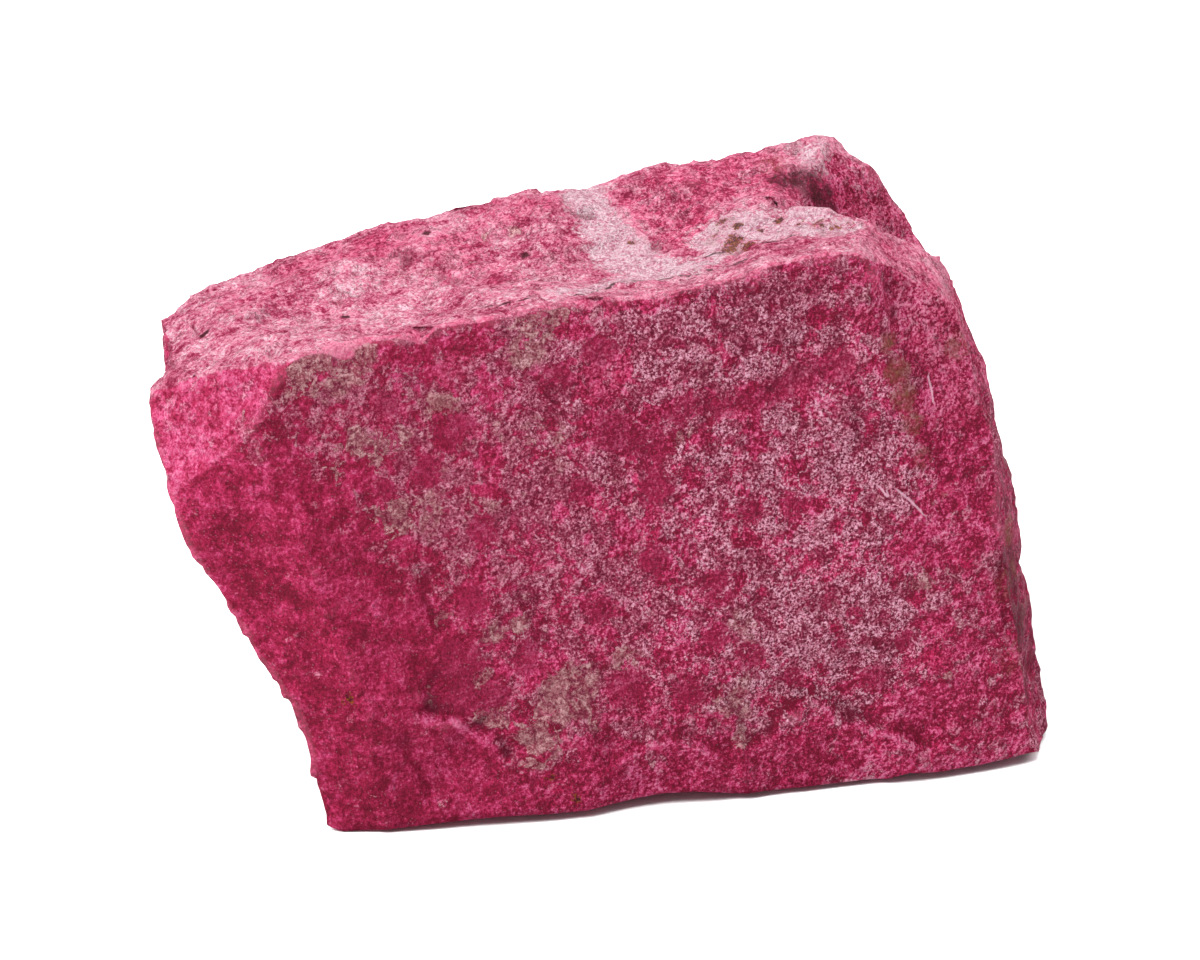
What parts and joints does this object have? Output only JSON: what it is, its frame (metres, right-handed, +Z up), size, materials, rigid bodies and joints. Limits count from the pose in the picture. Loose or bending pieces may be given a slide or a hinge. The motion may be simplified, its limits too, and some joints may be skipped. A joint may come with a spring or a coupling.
{
  "type": "zoisite stone",
  "caption": "Rough broken block of pink zoisite (thulite) with a broad front face, a sloping top with a raised crest and an undercut end, lying on its flat side.",
  "frame": {"origin": "on the floor, under the middle of the stone's bounding box", "axes": "+X runs along the stone to its higher right end, -Y is the way the broad front face looks, +Z is up"},
  "size_m": [0.0898, 0.0438, 0.0581],
  "materials": {
    "thulite": "rough broken surface, matt, sugary grain"
  },
  "bodies": {
    "root": {"stone": "thulite"}
  },
  "joints": []
}
